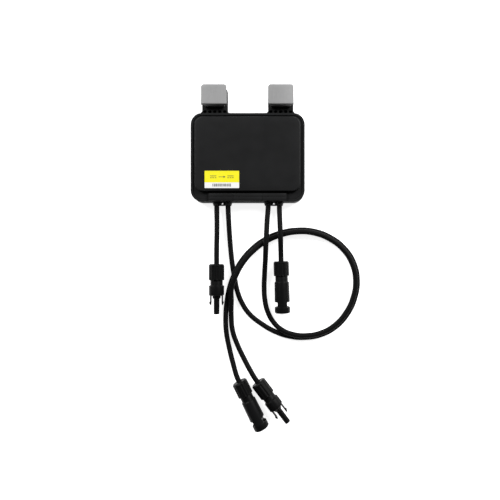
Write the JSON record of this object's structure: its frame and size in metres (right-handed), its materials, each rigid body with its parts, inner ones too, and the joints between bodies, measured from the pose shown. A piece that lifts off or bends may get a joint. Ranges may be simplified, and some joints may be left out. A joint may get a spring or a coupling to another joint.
{
  "type": "solar panel power optimizer",
  "caption": "Flat sealed electronics box with frame clips, a stepped front cover with a label, rubber glands, and cables ending in single-pole latching connectors.",
  "frame": {"origin": "on the resting surface, under the middle of the box with its clips and glands", "axes": "+Z out of the front cover, +Y towards the clips, +X to the right seen from the front with the clips up"},
  "size_m": [0.2101, 0.4249, 0.0229],
  "materials": {
    "housing": "fine grained, near black",
    "cover": "fine grained, near black, slightly satin",
    "seal": "matte",
    "label": "printed film, yellow over white",
    "hanger": "moulded, near black",
    "gland": "matte black",
    "clip": "zinc coated, satin grey",
    "spring": "spring steel",
    "board": "green solder mask",
    "fastener": "zinc plated",
    "pad": "soft, grey",
    "spreader": "plain sheet",
    "ferrite": "sintered ferrite, dark grey",
    "copper": "enamelled copper wire",
    "component": "moulded epoxy",
    "capacitor": "sleeved can",
    "can": "tinned shield",
    "terminal": "tin-plated copper",
    "cable": "satin black jacket",
    "connector": "moulded, satin black",
    "collar": "moulded, dark grey"
  },
  "bodies": {
    "box": {"rear_housing": "housing", "front_cover": "cover", "cover_seal": "seal", "rating_label": "label", "cable_cover_left": "cover", "terminal_cover": "cover", "cable_cover_right": "cover", "gland_left": "gland", "gland_right": "gland", "hanger_left": "hanger", "hanger_right": "hanger", "circuit_board": "board", "board_screws": "fastener", "thermal_pad": "pad", "heat_spreader": "spreader", "inductor_cores": "ferrite", "inductor_coils": "copper", "capacitors": "capacitor", "power_transistors": "component", "bypass_diode": "component", "control_chip": "component", "radio_module": "can", "cable_terminals": "terminal", "short_plug_cable": "cable", "short_socket_cable": "cable", "long_socket_cable": "cable", "long_plug_cable": "cable", "short_plug_housing": "connector", "short_plug_seal": "seal", "short_plug_contact": "terminal", "short_plug_ring": "seal", "long_plug_housing": "connector", "long_plug_seal": "seal", "long_plug_contact": "terminal", "long_plug_ring": "seal", "short_socket_housing": "connector", "short_socket_seal": "seal", "short_socket_contact": "terminal", "long_socket_housing": "connector", "long_socket_seal": "seal", "long_socket_contact": "terminal"},
    "clip_left": {"clip_left": "clip"},
    "frame_spring_left": {"frame_spring_left": "spring"},
    "clip_right": {"clip_right": "clip"},
    "frame_spring_right": {"frame_spring_right": "spring"},
    "short_plug_collar": {"short_plug_collar": "collar"},
    "short_plug_nut": {"short_plug_nut": "connector"},
    "short_plug_latch_a": {"short_plug_latch_a": "connector"},
    "short_plug_latch_b": {"short_plug_latch_b": "connector"},
    "short_socket_collar": {"short_socket_collar": "collar"},
    "short_socket_nut": {"short_socket_nut": "connector"},
    "long_socket_collar": {"long_socket_collar": "collar"},
    "long_socket_nut": {"long_socket_nut": "connector"},
    "long_plug_collar": {"long_plug_collar": "collar"},
    "long_plug_nut": {"long_plug_nut": "connector"},
    "long_plug_latch_a": {"long_plug_latch_a": "connector"},
    "long_plug_latch_b": {"long_plug_latch_b": "connector"}
  },
  "joints": [
    {"name": "clip_left_slide", "type": "slide", "parent": "box", "child": "clip_left", "axis": [0, 1, 0], "range_m": [0, 0.024]},
    {"name": "frame_spring_left_flex", "type": "hinge", "parent": "clip_left", "child": "frame_spring_left", "pos_m": [-0.0405, 0.066, 0.01665], "axis": [1, 0, 0], "range_deg": [0, 12], "stiffness_Nm_per_rad": 0.5},
    {"name": "clip_right_slide", "type": "slide", "parent": "box", "child": "clip_right", "axis": [0, 1, 0], "range_m": [0, 0.024]},
    {"name": "frame_spring_right_flex", "type": "hinge", "parent": "clip_right", "child": "frame_spring_right", "pos_m": [0.0405, 0.066, 0.01665], "axis": [1, 0, 0], "range_deg": [0, 12], "stiffness_Nm_per_rad": 0.5},
    {"name": "short_plug_collar_slide", "type": "slide", "parent": "box", "child": "short_plug_collar", "axis": [0, 1, 0], "range_m": [0, 0.004]},
    {"name": "short_plug_nut_turn", "type": "hinge", "parent": "short_plug_collar", "child": "short_plug_nut", "pos_m": [-0.039, -0.155, 0.0095], "axis": [0, 1, 0], "range_deg": [0, 720]},
    {"name": "short_plug_latch_a_flex", "type": "hinge", "parent": "box", "child": "short_plug_latch_a", "pos_m": [-0.03185, -0.1755, 0.0095], "axis": [0, 0, -1], "range_deg": [0, 4.5], "stiffness_Nm_per_rad": 0.05},
    {"name": "short_plug_latch_b_flex", "type": "hinge", "parent": "box", "child": "short_plug_latch_b", "pos_m": [-0.04615, -0.1755, 0.0095], "axis": [0, 0, 1], "range_deg": [0, 4.5], "stiffness_Nm_per_rad": 0.05},
    {"name": "short_socket_collar_slide", "type": "slide", "parent": "box", "child": "short_socket_collar", "axis": [-0.0279, 0.9996, 0], "range_m": [0, 0.004]},
    {"name": "short_socket_nut_turn", "type": "hinge", "parent": "short_socket_collar", "child": "short_socket_nut", "pos_m": [0.04138, -0.1515, 0.0095], "axis": [-0.0279, 0.9996, 0], "range_deg": [0, 720]},
    {"name": "long_socket_collar_slide", "type": "slide", "parent": "box", "child": "long_socket_collar", "axis": [-0.4431, 0.8965, 0], "range_m": [0, 0.004]},
    {"name": "long_socket_nut_turn", "type": "hinge", "parent": "long_socket_collar", "child": "long_socket_nut", "pos_m": [-0.00657, -0.29996, 0.0095], "axis": [-0.4431, 0.8965, 0], "range_deg": [0, 720]},
    {"name": "long_plug_collar_slide", "type": "slide", "parent": "box", "child": "long_plug_collar", "axis": [-0.6018, 0.7986, 0], "range_m": [0, 0.004]},
    {"name": "long_plug_nut_turn", "type": "hinge", "parent": "long_plug_collar", "child": "long_plug_nut", "pos_m": [0.01812, -0.29969, 0.0095], "axis": [-0.6018, 0.7986, 0], "range_deg": [0, 720]},
    {"name": "long_plug_latch_a_flex", "type": "hinge", "parent": "box", "child": "long_plug_latch_a", "pos_m": [0.03617, -0.31176, 0.0095], "axis": [0, 0, -1], "range_deg": [0, 4.5], "stiffness_Nm_per_rad": 0.05},
    {"name": "long_plug_latch_b_flex", "type": "hinge", "parent": "box", "child": "long_plug_latch_b", "pos_m": [0.02474, -0.32036, 0.0095], "axis": [0, 0, 1], "range_deg": [0, 4.5], "stiffness_Nm_per_rad": 0.05}
  ],
  "couplings": [
    {"joint": "short_plug_collar_slide", "follows": "short_plug_nut_turn", "m_per_rad": 0.00031831},
    {"joint": "short_socket_collar_slide", "follows": "short_socket_nut_turn", "m_per_rad": 0.00031831},
    {"joint": "long_socket_collar_slide", "follows": "long_socket_nut_turn", "m_per_rad": 0.00031831},
    {"joint": "long_plug_collar_slide", "follows": "long_plug_nut_turn", "m_per_rad": 0.00031831}
  ]
}
